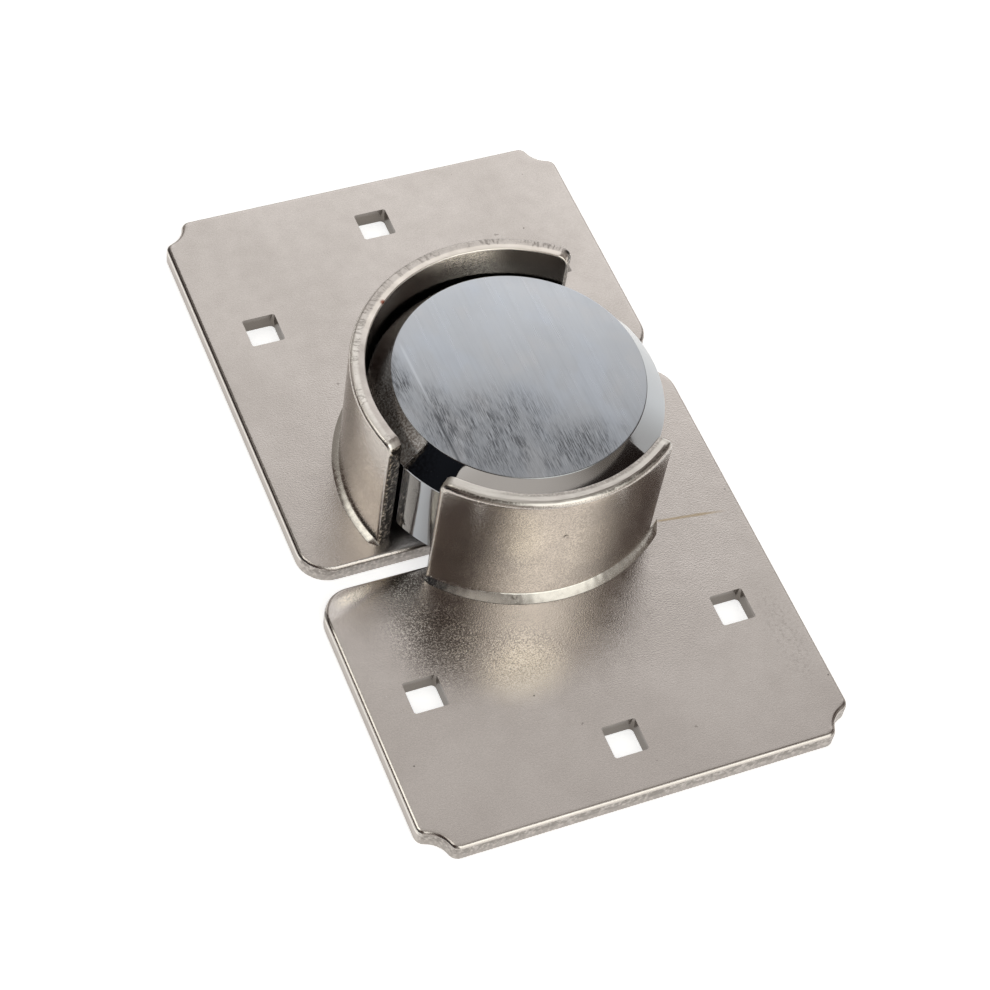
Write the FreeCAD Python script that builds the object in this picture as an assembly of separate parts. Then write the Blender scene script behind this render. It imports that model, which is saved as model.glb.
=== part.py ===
"""Two-piece shrouded hasp closed by a round hidden-bar padlock.

Millimetres, +Z up. The origin is the middle of the hasp, in the plane that it is bolted to. +Y runs
along the hasp towards its upper half, +X towards the side where the key goes in.
"""
import FreeCAD
import Part

import itertools
import math
import os

V = FreeCAD.Vector

# Hasp plates
HASP_LENGTH = 197.0
PLATE_WIDTH = 111.0
PLATE_T = 4.8
SEAM_GAP = 5.6
SEAM_SHIFT = 20.6           # half of the step between the two arms of the seam
SEAM_CORNER_R = 8.0
TONGUE_CORNER_R = 3.0
BITE_R = 6.3                # round bite out of each outer corner
BITE_LIP_R = 2.5
EDGE_ROUND = 0.6

# Square bolt holes
HOLE_SIDE = 8.8
HOLE_CORNER_R = 1.2
HOLE_END_MARGIN = 15.0      # end hole to the end of the plate
HOLE_SIDE_MARGIN = 15.2     # side holes to the side of the plate
SIDE_HOLE_SETBACK = 25.9    # side holes behind the end hole

# Round lock body
LOCK_X = 2.8                # its axis, right of the middle of the hasp
LOCK_R = 36.5
LOCK_T = 35.3
FRONT_CHAMFER_IN = 5.5
FRONT_CHAMFER_DOWN = 7.2
REAR_CHAMFER_IN = 4.0
REAR_CHAMFER_UP = 5.9
LOCK_EDGE_ROUND = 0.4

# Guards round the lock
GUARD_CLEARANCE = 0.8
GUARD_T = 3.9
GUARD_TOP = 43.0
GUARD_END_R = 3.0
GUARD_RIM_ROUND = 0.5
GUARD_WELD_LEG = 1.7
GUARD_WELD_RISE = 2.4

# Where the guards stand: degrees about the lock's axis, from +X towards +Y
UPPER_GUARD_START_ANGLE = 49.0
UPPER_GUARD_SWEEP_ANGLE = 151.0
GUARD_MOUTH_ANGLE = 20.0    # from the upper guard's end on to the lower guard
LOWER_GUARD_SWEEP_ANGLE = 91.5
UPPER_WELD_TAIL_ANGLES = (2.5, 1.0)     # how far the bead runs out past each end of its guard
LOWER_WELD_TAIL_ANGLES = (1.0, 6.0)

# How far a cutter runs past the face that it cuts
CUT_PAST = 1.0

# Lugs that the bar passes through
BAR_ABOVE_PLATE = 17.0
LUG_T = 4.8
LUG_WIDTH = 18.0
LUG_TENON_WIDTH = 12.0
LUG_FIT = 0.1
LUG_WELD_LEG = 2.0
LUG_CLEARANCE = 1.0         # lug to the walls of the cavity
CAVITY_SIDE_CLEARANCE = 0.6
EYE_CLEARANCE = 0.4

# Sliding bar and what carries it
BAR_R = 4.8
BAR_FIT = 0.1
BAR_REACH = 5.6             # into the blind bore beyond the cavity
BAR_HEAD = 1.4
BAR_FLAT_DEPTH = 1.5
BAR_SPIGOT_R = 3.5
STOP_PIN_R = 1.3
STOP_PIN_FROM_CAVITY = 2.6
STOP_PIN_SUNK = 0.5
STOP_PIN_GAP = 0.1
BORE_END_GAP = 0.5
CROSS_PIN_R = 1.0
CROSS_PIN_SUNK = 0.4

# Cylinder housing
HOUSING_R = 10.0
HOUSING_FIT = 0.1
HOUSING_FROM_CAVITY = 5.2
HOUSING_WALL_T = 3.5
HOUSING_BACK_GAP = 0.1
HOUSING_FACE_SUNK = 0.2
CAM_POCKET_LENGTH = 4.5

# Key plug, cam and pins
PLUG_R = 5.5
PLUG_FIT = 0.05
PLUG_DROP = 3.0             # plug axis below the housing's axis
PLUG_FACE_SUNK = 0.9
PLUG_FLANGE_R = 6.2
PLUG_FLANGE_T = 1.0
PLUG_TAIL_R = 3.0
PLUG_TAIL_FLAT = 2.3
KEYWAY_WIDTH = 1.7
KEYWAY_BELOW = 3.4
KEYWAY_ABOVE = 4.1
KEYWAY_WARD = 0.8
KEYWAY_END_WALL = 1.0
CAM_T = 3.0
CAM_REACH = 9.4
CAM_TIP_R = 3.6
CAM_HUB_R = 5.0
CAM_SWEEP_GAP = 0.3
LOCK_GROOVE_GAP = 0.4
CAM_SCREW_HEAD_R = 2.6
CAM_SCREW_HEAD_T = 1.1
CAM_SCREW_R = 1.2
CAM_SCREW_LENGTH = 5.0
PIN_PITCH = 3.4
PIN_WALL = 1.2              # left between the last pin chamber and the cam's pocket
PIN_R = 1.3
PIN_FIT = 0.08
FIRST_PIN_FROM_FACE = 3.6
KEY_PIN_LENGTHS = (3.6, 4.3, 3.9, 4.6)
KEY_PIN_TIP = 0.7
SHEAR_GAP = 0.03
DRIVER_LENGTH = 2.5
SPRING_WIRE_R = 0.22
SPRING_TURNS = 3.5
SPRING_COVER_T = 1.0
SPRING_COVER_WIDTH = 4.0
SPRING_COVER_LAP = 1.0
DRILL_PIN_R = 1.0
DRILL_PIN_LENGTH = 6.0
DRILL_PIN_OFFSET = 5.6
DRILL_PIN_SUNK = 1.6

# Places that follow from the sizes above
LOCK_TOP = PLATE_T + LOCK_T
BAR_Z = PLATE_T + BAR_ABOVE_PLATE
PLUG_Z = BAR_Z - PLUG_DROP
TONGUE_EDGE = SEAM_GAP / 2
CAVITY_HALF_X = TONGUE_EDGE + LUG_T + LUG_CLEARANCE
CAVITY_HALF_Y = LUG_WIDTH / 2 + LUG_WELD_LEG + CAVITY_SIDE_CLEARANCE
LUG_TOP = BAR_Z + LUG_WIDTH / 2
CAVITY_TOP = LUG_TOP + LUG_CLEARANCE
BAR_TIP = -CAVITY_HALF_X - BAR_REACH
STOP_PIN_X = CAVITY_HALF_X + STOP_PIN_FROM_CAVITY
HOUSING_BACK = CAVITY_HALF_X + HOUSING_FROM_CAVITY
POCKET_BACK = HOUSING_BACK + HOUSING_WALL_T
POCKET_FRONT = POCKET_BACK + CAM_POCKET_LENGTH
LOCK_SIDE = LOCK_X + LOCK_R
PLUG_FACE = LOCK_SIDE - PLUG_FACE_SUNK
CAM_FRONT = POCKET_FRONT - LUG_FIT
CAM_BACK = CAM_FRONT - CAM_T
GUARD_R = LOCK_R + GUARD_CLEARANCE
UPPER_GUARD_END_ANGLE = UPPER_GUARD_START_ANGLE + UPPER_GUARD_SWEEP_ANGLE
LOWER_GUARD_START_ANGLE = UPPER_GUARD_END_ANGLE + GUARD_MOUTH_ANGLE
TURN = 360.0


def box(x0, x1, y0, y1, z0, z1):
    """Box between two corners."""
    return Part.makeBox(x1 - x0, y1 - y0, z1 - z0, V(x0, y0, z0))


def rod_x(radius, x0, x1, y=0.0, z=0.0):
    """Cylinder that lies along X."""
    return Part.makeCylinder(radius, x1 - x0, V(x0, y, z), V(1, 0, 0))


def rod_z(radius, z0, z1, x=0.0, y=0.0):
    """Upright cylinder."""
    return Part.makeCylinder(radius, z1 - z0, V(x, y, z0))


def prism(wire, z0, z1):
    """Flat outline raised from z0 to z1."""
    face = Part.Face(wire)
    face.translate(V(0, 0, z0))
    return face.extrude(V(0, 0, z1 - z0))


def polygon(points):
    """Closed wire through points in the XY plane."""
    corners = [V(x, y, 0) for x, y in points]
    return Part.makePolygon(corners + corners[:1])


def round_corners(solid, corners, radius):
    """Round the upright edges that stand at the given XY places."""
    edges = []
    for edge in solid.Edges:
        a, b = edge.Vertexes[0].Point, edge.Vertexes[-1].Point
        upright = abs(a.x - b.x) < 1e-6 and abs(a.y - b.y) < 1e-6 and abs(a.z - b.z) > 1e-6
        if upright and any(math.hypot(a.x - x, a.y - y) < 1e-3 for x, y in corners):
            edges.append(edge)
    return solid.makeFillet(radius, edges)


def edges_at_height(solid, z):
    """Edges that lie wholly at one height."""
    return [e for e in solid.Edges if all(abs(v.Point.z - z) < 1e-6 for v in e.Vertexes) and
            abs(e.BoundBox.ZMax - e.BoundBox.ZMin) < 1e-6]


def half_turn(shape):
    """Copy of a shape turned by half a turn about the middle of the hasp."""
    copy = shape.copy()
    copy.rotate(V(0, 0, 0), V(0, 0, 1), TURN / 2)
    return copy


def turned(profile, start=0.0, angle=TURN):
    """Closed profile in the XZ plane turned about the lock's axis."""
    solid = Part.Face(profile).revolve(V(0, 0, 0), V(0, 0, 1), angle)
    solid.rotate(V(0, 0, 0), V(0, 0, 1), start)
    solid.translate(V(LOCK_X, 0, 0))
    return solid


def hole_places():
    """Centres of the three square holes of the upper plate."""
    end_y = HASP_LENGTH / 2 - HOLE_END_MARGIN
    side_y = end_y - SIDE_HOLE_SETBACK
    reach = PLATE_WIDTH / 2 - HOLE_SIDE_MARGIN
    return [(0, end_y), (-reach, side_y), (reach, side_y)]


def square_hole(x, y):
    """Cutter of one square bolt hole."""
    half = HOLE_SIDE / 2
    cutter = box(x - half, x + half, y - half, y + half, -CUT_PAST, PLATE_T + CUT_PAST)
    corners = [(x + sx * half, y + sy * half) for sx in (-1, 1) for sy in (-1, 1)]
    return round_corners(cutter, corners, HOLE_CORNER_R)


def plate():
    """Upper plate: stepped seam, bitten outer corners, square holes and a notch for its lug."""
    side = PLATE_WIDTH / 2
    far = HASP_LENGTH / 2
    low = -SEAM_SHIFT + SEAM_GAP / 2
    high = SEAM_SHIFT + SEAM_GAP / 2
    outline = [(-side, low), (-TONGUE_EDGE, low), (-TONGUE_EDGE, high),
               (side, high), (side, far), (-side, far)]
    solid = prism(polygon(outline), 0, PLATE_T)
    solid = round_corners(solid, [(-side, low), (side, high)], SEAM_CORNER_R)
    solid = round_corners(solid, [(-TONGUE_EDGE, low), (-TONGUE_EDGE, high)], TONGUE_CORNER_R)
    lips = []
    for x in (-side, side):
        solid = solid.cut(rod_z(BITE_R, -CUT_PAST, PLATE_T + CUT_PAST, x, far))
        lips += [(x - math.copysign(BITE_R, x), far), (x, far - BITE_R)]
    solid = round_corners(solid, lips, BITE_LIP_R)
    for x, y in hole_places():
        solid = solid.cut(square_hole(x, y))
    solid = solid.makeFillet(EDGE_ROUND, edges_at_height(solid, PLATE_T))
    half = LUG_TENON_WIDTH / 2 + LUG_FIT
    notch = box(-TONGUE_EDGE - LUG_T - LUG_FIT, -TONGUE_EDGE + CUT_PAST, -half, half,
                -CUT_PAST, PLATE_T + CUT_PAST)
    return solid.cut(notch).removeSplitter()


def lug():
    """Lug of the upper plate: an eye on a tenon that fills the notch in the plate."""
    x0, x1 = -TONGUE_EDGE - LUG_T, -TONGUE_EDGE
    half = LUG_WIDTH / 2
    shank = box(x0, x1, -half, half, PLATE_T, BAR_Z)
    eye = rod_x(half, x0, x1, 0, BAR_Z)
    tenon = box(x0, x1, -LUG_TENON_WIDTH / 2, LUG_TENON_WIDTH / 2, 0, PLATE_T)
    hole = rod_x(BAR_R + EYE_CLEARANCE, x0 - CUT_PAST, x1 + CUT_PAST, 0, BAR_Z)
    return shank.fuse([eye, tenon]).cut(hole).removeSplitter()


def lug_weld():
    """Fillet weld across both ends of the lug's foot."""
    half = LUG_WIDTH / 2
    beads = []
    for side in (-1, 1):
        foot = V(-TONGUE_EDGE - LUG_T, side * half, PLATE_T)
        out = V(foot.x, side * (half + LUG_WELD_LEG), PLATE_T)
        up = V(foot.x, side * half, PLATE_T + LUG_WELD_LEG)
        bulge = (out + up) * 0.5 + V(0, side, 1) * (LUG_WELD_LEG * 0.12)
        wire = Part.Wire([Part.LineSegment(foot, out).toShape(), Part.Arc(out, bulge, up).toShape(),
                          Part.LineSegment(up, foot).toShape()])
        beads.append(Part.Face(wire).extrude(V(LUG_T - EDGE_ROUND, 0, 0)))
    return Part.makeCompound(beads)


def guard(start, sweep):
    """Curved guard wall, its top corners rounded at both ends and its rim eased."""
    outer = GUARD_R + GUARD_T
    corners = [V(GUARD_R, 0, PLATE_T), V(outer, 0, PLATE_T),
               V(outer, 0, GUARD_TOP), V(GUARD_R, 0, GUARD_TOP)]
    wall = turned(Part.makePolygon(corners + corners[:1]), start, sweep)
    ends = []
    for edge in edges_at_height(wall, GUARD_TOP):
        if isinstance(edge.Curve, Part.Line):
            ends.append(edge)
    wall = wall.makeFillet(GUARD_END_R, ends)
    rim = [e for e in edges_at_height(wall, GUARD_TOP) if not isinstance(e.Curve, Part.Line)]
    return wall.makeFillet(GUARD_RIM_ROUND, rim)


def guard_weld(start, sweep, tail_angles):
    """Weld bead along the outer foot of a guard, run out to a point past each end."""
    outer = GUARD_R + GUARD_T
    foot = V(outer, 0, PLATE_T)
    out = V(outer + GUARD_WELD_LEG, 0, PLATE_T)
    up = V(outer, 0, PLATE_T + GUARD_WELD_RISE)
    bulge = (out + up) * 0.5 + V(1, 0, 1) * (GUARD_WELD_LEG * 0.12)
    profile = Part.Wire([Part.LineSegment(foot, out).toShape(), Part.Arc(out, bulge, up).toShape(),
                         Part.LineSegment(up, foot).toShape()])
    bead = turned(profile, start, sweep)
    tails = []
    for end, tip in ((start, start - tail_angles[0]), (start + sweep, start + sweep + tail_angles[1])):
        section = profile.copy()
        section.rotate(V(0, 0, 0), V(0, 0, 1), end)
        point = V(outer * math.cos(math.radians(tip)), outer * math.sin(math.radians(tip)), PLATE_T)
        tail = Part.makeLoft([section, Part.Vertex(point)], True)
        tail.translate(V(LOCK_X, 0, 0))
        tails.append(tail)
    return bead.fuse(tails).removeSplitter()


def lock_disc():
    """Turned disc of the lock with its polished front chamfer and its rear chamfer."""
    points = [V(0, 0, PLATE_T), V(LOCK_R - REAR_CHAMFER_IN, 0, PLATE_T),
              V(LOCK_R, 0, PLATE_T + REAR_CHAMFER_UP), V(LOCK_R, 0, LOCK_TOP - FRONT_CHAMFER_DOWN),
              V(LOCK_R - FRONT_CHAMFER_IN, 0, LOCK_TOP), V(0, 0, LOCK_TOP)]
    disc = turned(Part.makePolygon(points + points[:1]))
    front = [e for z in (LOCK_TOP, LOCK_TOP - FRONT_CHAMFER_DOWN) for e in edges_at_height(disc, z)]
    return disc.makeFillet(LOCK_EDGE_ROUND, front)


def lock_body():
    """Disc with the rear cavity for the lugs, the bar bore, the housing bore and the cam's groove."""
    disc = lock_disc()
    cavity = box(-CAVITY_HALF_X, CAVITY_HALF_X, -CAVITY_HALF_Y, CAVITY_HALF_Y,
                 PLATE_T - CUT_PAST, CAVITY_TOP)
    bar_bore = rod_x(BAR_R + BAR_FIT, BAR_TIP - BORE_END_GAP, HOUSING_BACK, 0, BAR_Z)
    housing_bore = rod_x(HOUSING_R + HOUSING_FIT, HOUSING_BACK - HOUSING_BACK_GAP,
                         LOCK_SIDE + CUT_PAST, 0, BAR_Z)
    groove_r = PLUG_DROP + CAM_REACH + LOCK_GROOVE_GAP
    groove = rod_x(groove_r, CAM_BACK - LOCK_GROOVE_GAP, CAM_FRONT + LOCK_GROOVE_GAP, 0, BAR_Z)
    stop_hole = rod_z(STOP_PIN_R, PLATE_T - CUT_PAST, BAR_Z, STOP_PIN_X)
    return disc.cut([cavity, bar_bore, housing_bore, groove, stop_hole])


def stop_pin():
    """Pin that runs along the bar's flat, so that the bar can't turn or leave the body."""
    flat_z = BAR_Z - BAR_R + BAR_FLAT_DEPTH
    return rod_z(STOP_PIN_R, PLATE_T + STOP_PIN_SUNK, flat_z - STOP_PIN_GAP, STOP_PIN_X)


def shackle_bar():
    """Round bar with a long flat under it, a full head at its tip and a spigot in the housing."""
    bar = rod_x(BAR_R, BAR_TIP, HOUSING_BACK, 0, BAR_Z)
    tip_edge = [e for e in bar.Edges
                if abs(e.BoundBox.XMax - BAR_TIP) < 1e-6 and isinstance(e.Curve, Part.Circle)]
    bar = bar.makeChamfer(BAR_HEAD / 3, tip_edge)
    flat_end = STOP_PIN_X + STOP_PIN_R + STOP_PIN_GAP
    flat = box(BAR_TIP + BAR_HEAD, flat_end, -BAR_R, BAR_R,
               BAR_Z - BAR_R - CUT_PAST, BAR_Z - BAR_R + BAR_FLAT_DEPTH)
    spigot = rod_x(BAR_SPIGOT_R, HOUSING_BACK, POCKET_BACK, 0, BAR_Z)
    return bar.cut(flat).fuse(spigot).cut(cross_pin_hole()).removeSplitter()


def cross_pin_line(radius, reach):
    """Rod along Y through the bar's spigot."""
    x = HOUSING_BACK + HOUSING_WALL_T / 2
    return Part.makeCylinder(radius, 2 * reach, V(x, -reach, BAR_Z), V(0, 1, 0))


def cross_pin_hole():
    """Hole of the cross pin, right through the housing."""
    return cross_pin_line(CROSS_PIN_R, HOUSING_R + CUT_PAST)


def cross_pin():
    """Pin that holds the bar in the housing."""
    return cross_pin_line(CROSS_PIN_R, HOUSING_R - CROSS_PIN_SUNK)


def pin_places():
    """Places of the pin chambers, as many as there is room for behind the first one."""
    first = PLUG_FACE - FIRST_PIN_FROM_FACE
    last = POCKET_FRONT + PIN_WALL + PIN_FIT + PIN_R
    return [first - i * PIN_PITCH for i in range(int((first - last) / PIN_PITCH) + 1)]


def cover_span():
    """Ends of the strip over the pin chambers."""
    places = pin_places()
    lap = PIN_R + SPRING_COVER_LAP
    return places[-1] - lap, places[0] + lap


def cover_top():
    """Height of the strip over the pin chambers, level with the housing at the strip's sides."""
    half = SPRING_COVER_WIDTH / 2
    return BAR_Z + math.sqrt(HOUSING_R ** 2 - half ** 2) - HOUSING_FIT


def spring_cover():
    """Strip that closes the pin chambers."""
    x0, x1 = cover_span()
    half = SPRING_COVER_WIDTH / 2
    return box(x0, x1, -half, half, cover_top() - SPRING_COVER_T, cover_top())


def drill_pin_places():
    """Two places in the housing's face, above the plug."""
    return [(side * DRILL_PIN_OFFSET, BAR_Z + DRILL_PIN_OFFSET / 2) for side in (-1, 1)]


def drill_pin_end():
    """Outer end of the hardened pins."""
    return LOCK_SIDE - DRILL_PIN_SUNK


def cylinder_housing():
    """Housing that slides in the body: offset plug bore, pin chambers and a pocket for the cam."""
    past_face = LOCK_SIDE + CUT_PAST
    shell = rod_x(HOUSING_R, HOUSING_BACK, past_face, 0, BAR_Z)
    shell = shell.common(rod_z(LOCK_R - HOUSING_FACE_SUNK, PLATE_T, LOCK_TOP, LOCK_X))
    plug_bore = rod_x(PLUG_R + PLUG_FIT, POCKET_BACK, past_face, 0, PLUG_Z)
    flange_seat = PLUG_FACE - PLUG_FLANGE_T - PLUG_FIT
    flange_bore = rod_x(PLUG_FLANGE_R + PLUG_FIT, flange_seat, past_face, 0, PLUG_Z)
    pocket = rod_x(CAM_REACH + CAM_SWEEP_GAP, POCKET_BACK, POCKET_FRONT, 0, PLUG_Z)
    spigot_hole = rod_x(BAR_SPIGOT_R, HOUSING_BACK - CUT_PAST, POCKET_BACK + CUT_PAST, 0, BAR_Z)
    cuts = [plug_bore, flange_bore, pocket, spigot_hole, cross_pin_hole()]
    for x in pin_places():
        cuts.append(rod_z(PIN_R + PIN_FIT, PLUG_Z, LOCK_TOP, x))
    x0, x1 = cover_span()
    half = SPRING_COVER_WIDTH / 2
    cuts.append(box(x0, x1, -half, half, cover_top() - SPRING_COVER_T, LOCK_TOP))
    for y, z in drill_pin_places():
        cuts.append(rod_x(DRILL_PIN_R, drill_pin_end() - DRILL_PIN_LENGTH, past_face, y, z))
    return shell.cut(cuts)


def drill_pins():
    """Two hardened pins sunk in the housing's face."""
    end = drill_pin_end()
    return Part.makeCompound([rod_x(DRILL_PIN_R, end - DRILL_PIN_LENGTH, end, y, z)
                              for y, z in drill_pin_places()])


def tail_section(x0, x1, clearance=0.0):
    """Tail of the plug between two places: a rod with two flats."""
    tail = rod_x(PLUG_TAIL_R + clearance, x0, x1, 0, PLUG_Z)
    half = PLUG_TAIL_FLAT + clearance
    return tail.common(box(x0, x1, -half, half, 0, LOCK_TOP))


def cylinder_plug():
    """Key plug in its open position: keyway, key pin chambers below, front flange and flatted tail."""
    plug = rod_x(PLUG_R, POCKET_FRONT, PLUG_FACE, 0, PLUG_Z)
    plug = plug.fuse([rod_x(PLUG_FLANGE_R, PLUG_FACE - PLUG_FLANGE_T, PLUG_FACE, 0, PLUG_Z),
                      tail_section(CAM_BACK, POCKET_FRONT)]).removeSplitter()
    half = KEYWAY_WIDTH / 2
    start = POCKET_FRONT + KEYWAY_END_WALL
    cuts = [box(start, LOCK_SIDE, -half, half, PLUG_Z - KEYWAY_BELOW, PLUG_Z + KEYWAY_ABOVE),
            box(start, LOCK_SIDE, 0, half + KEYWAY_WARD,
                PLUG_Z + KEYWAY_WARD, PLUG_Z + 2 * KEYWAY_WARD),
            rod_x(CAM_SCREW_R, CAM_BACK - CUT_PAST, CAM_BACK + CAM_SCREW_LENGTH, 0, PLUG_Z)]
    for x in pin_places():
        cuts.append(rod_z(PIN_R + PIN_FIT, PLUG_Z - PLUG_R - CUT_PAST, PLUG_Z, x))
    return plug.cut(cuts)


def plug_cam():
    """Cam on the plug's tail, held clear of the body's groove while it points up."""
    hub = rod_x(CAM_HUB_R, CAM_BACK, CAM_FRONT, 0, PLUG_Z)
    tip = rod_x(CAM_TIP_R, CAM_BACK, CAM_FRONT, 0, PLUG_Z + CAM_REACH - CAM_TIP_R)
    web = box(CAM_BACK, CAM_FRONT, -CAM_TIP_R, CAM_TIP_R, PLUG_Z, PLUG_Z + CAM_REACH - CAM_TIP_R)
    tail = tail_section(CAM_BACK - CUT_PAST, CAM_FRONT + CUT_PAST)
    return hub.fuse([tip, web]).removeSplitter().cut(tail)


def cam_screw():
    """Screw that holds the cam on the plug."""
    head = rod_x(CAM_SCREW_HEAD_R, CAM_BACK - CAM_SCREW_HEAD_T, CAM_BACK, 0, PLUG_Z)
    shank = rod_x(CAM_SCREW_R, CAM_BACK, CAM_BACK + CAM_SCREW_LENGTH, 0, PLUG_Z)
    slot = box(CAM_BACK - CAM_SCREW_HEAD_T - CUT_PAST, CAM_BACK - CAM_SCREW_HEAD_T / 2,
               -CAM_SCREW_HEAD_T / 4, CAM_SCREW_HEAD_T / 4, PLUG_Z - PLUG_R, PLUG_Z + PLUG_R)
    return head.fuse(shank).removeSplitter().cut(slot)


def key_pins():
    """Key pins at the shear line, each with a pointed tip towards the keyway."""
    pins = []
    foot = PLUG_Z - PLUG_R + PIN_FIT * 2
    for x, length in zip(pin_places(), itertools.cycle(KEY_PIN_LENGTHS)):
        pin = rod_z(PIN_R, foot, foot + length - KEY_PIN_TIP, x)
        tip = Part.makeCone(PIN_R, PIN_R / 3, KEY_PIN_TIP, V(x, 0, foot + length - KEY_PIN_TIP))
        pins.append(pin.fuse(tip).removeSplitter())
    return Part.makeCompound(pins)


def driver_pins():
    """Driver pins resting on the plug."""
    foot = PLUG_Z + PLUG_R + SHEAR_GAP
    return Part.makeCompound([rod_z(PIN_R, foot, foot + DRIVER_LENGTH, x) for x in pin_places()])


def pin_springs():
    """Coil springs between the driver pins and the strip over them."""
    foot = PLUG_Z + PLUG_R + SHEAR_GAP + DRIVER_LENGTH + SPRING_WIRE_R
    top = cover_top() - SPRING_COVER_T - SPRING_WIRE_R
    coil_r = PIN_R - SPRING_WIRE_R
    helix = Part.makeHelix((top - foot) / SPRING_TURNS, top - foot, coil_r)
    section = Part.Wire(Part.makeCircle(SPRING_WIRE_R, V(coil_r, 0, 0), V(0, 1, 0)))
    coil = Part.Wire(helix).makePipeShell([section], True, True)
    springs = []
    for x in pin_places():
        copy = coil.copy()
        copy.translate(V(x, 0, foot))
        springs.append(copy)
    return Part.makeCompound(springs)


def nodes():
    """Every separate piece by its name."""
    return {
        "upper_plate": plate(),
        "upper_lug": lug(),
        "upper_lug_weld": lug_weld(),
        "upper_guard": guard(UPPER_GUARD_START_ANGLE, UPPER_GUARD_SWEEP_ANGLE),
        "upper_guard_weld": guard_weld(UPPER_GUARD_START_ANGLE, UPPER_GUARD_SWEEP_ANGLE,
                                       UPPER_WELD_TAIL_ANGLES),
        "lower_plate": half_turn(plate()),
        "lower_lug": half_turn(lug()),
        "lower_lug_weld": half_turn(lug_weld()),
        "lower_guard": guard(LOWER_GUARD_START_ANGLE, LOWER_GUARD_SWEEP_ANGLE),
        "lower_guard_weld": guard_weld(LOWER_GUARD_START_ANGLE, LOWER_GUARD_SWEEP_ANGLE,
                                       LOWER_WELD_TAIL_ANGLES),
        "lock_body": lock_body(),
        "stop_pin": stop_pin(),
        "shackle_bar": shackle_bar(),
        "bar_cross_pin": cross_pin(),
        "cylinder_housing": cylinder_housing(),
        "spring_cover": spring_cover(),
        "drill_pins": drill_pins(),
        "driver_pins": driver_pins(),
        "pin_springs": pin_springs(),
        "cylinder_plug": cylinder_plug(),
        "key_pins": key_pins(),
        "plug_cam": plug_cam(),
        "cam_screw": cam_screw(),
    }


os.makedirs("parts", exist_ok=True)
for name, shape in nodes().items():
    if not shape.isValid() or shape.Volume <= 0:
        raise RuntimeError("%s is not a valid solid" % name)
    shape.exportStep("parts/%s.step" % name)
    print("%-18s %2d solids %10.1f mm3" % (name, len(shape.Solids), shape.Volume))
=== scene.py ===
import math
from functools import partialmethod

import bmesh
import bpy
from bpy.props import FloatProperty, FloatVectorProperty, PointerProperty
from bpy.types import Operator, Panel, PropertyGroup
from mathutils import Matrix, Vector, noise


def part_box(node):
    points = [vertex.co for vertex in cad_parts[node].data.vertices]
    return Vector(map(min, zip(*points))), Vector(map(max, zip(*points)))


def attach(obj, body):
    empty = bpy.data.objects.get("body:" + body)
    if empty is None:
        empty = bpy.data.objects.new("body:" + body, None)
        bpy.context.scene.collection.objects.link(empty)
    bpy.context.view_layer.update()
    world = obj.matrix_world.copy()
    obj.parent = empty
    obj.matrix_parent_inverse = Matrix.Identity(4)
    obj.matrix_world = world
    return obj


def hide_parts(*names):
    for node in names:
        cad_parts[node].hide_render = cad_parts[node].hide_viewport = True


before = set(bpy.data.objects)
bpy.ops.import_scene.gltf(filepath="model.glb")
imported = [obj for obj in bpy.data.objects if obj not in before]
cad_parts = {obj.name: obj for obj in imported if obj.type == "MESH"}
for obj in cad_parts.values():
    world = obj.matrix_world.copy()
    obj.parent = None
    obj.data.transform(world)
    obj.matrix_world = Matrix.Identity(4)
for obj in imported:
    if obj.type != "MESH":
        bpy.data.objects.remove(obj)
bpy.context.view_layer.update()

bl_info = {
    "name": "Shrouded hasp with round lock",
    "version": (1, 0, 0),
    "blender": (4, 5, 0),
    "location": "3D View > Sidebar > Hasp",
    "description": "Builds the visible pieces, finishes and studio of a two-part hasp and its round lock",
    "category": "Add Mesh",
}

MM = 0.001
QUARTER = math.radians(90)
HALF_TURN = math.radians(180)
CUT_PAST = 1 * MM
SHARP = 35

# Parts of a face's normal that tell tops, sides, ends and feet apart
FACING = 0.9
SIDEWAYS = 0.1
STEEP = 0.3
END_FACING = 0.8
FOOT = -0.5

# Places of the materials on a plate and on a guard wall
TOP, EDGE, HOLE = range(3)
WALL, RIM, END, INSIDE = range(4)

# Rims of the guards: rows and parts that carry their waves, their crown, and waves for each metre
RIM_ROWS = (1.2 * MM, 3.2 * MM)
RIM_PARTS = (0.30, 0.60)
RIM_DEPTH = 4.0 * MM
RIM_CREST = 0.35
RIM_CROWN = 0.8
SHORT_WAVES = 420
LONG_WAVES = 90
WALL_WAVES = 160
WALL_DENT = 0.03 * MM

# Weld beads: section, steps along the wall, least run-out in radians, size at the tips and ripples
BEAD_POINTS = 9
BEAD_ROOT = 0.15
BEAD_STEP = 0.45 * MM
LEAST_TAIL = 0.06
BEAD_TIP = 0.04
BEAD_FULL = 0.94
BEAD_SWELLS = (0.006, 0.05, 0.008)
SLIM_RUN = 3.5
BEAD_RIPPLE = 0.42 * MM
BEAD_WAVES = 150
BEAD_GRAIN = 700

# Studio: sizes in metres, the lamp's azimuth and elevation in degrees, and the floor's tone and glow
FLOOR_HALF = 3.0
FLOOR_DROP = 0.05 * MM
FLOOR_TONE = 0.86
FLOOR_SEEN = 0.70
FLOOR_MIRRORED = 0.45
SOFTBOX_WIDTH = 0.9
SOFTBOX_AWAY = 1.3
SOFTBOX_FROM = (100, 80)
SENSOR_WIDTH = 36

# Marks of wear, in millimetres from the middle of the hasp
CHIP = (28.7, 30.9)
RUST_SPECK = (-21.8, 28.4)
SPECKS = ((-49.9, -75), (54.3, -82.7), (-16, -66), (38, 71))
WORN_PATCHES = (((-8, -15), (21, 18)), ((-20.5, -8), (8, 16)),
                ((8, -25), (18, 11)), ((-26, 7), (5, 12)))

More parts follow.
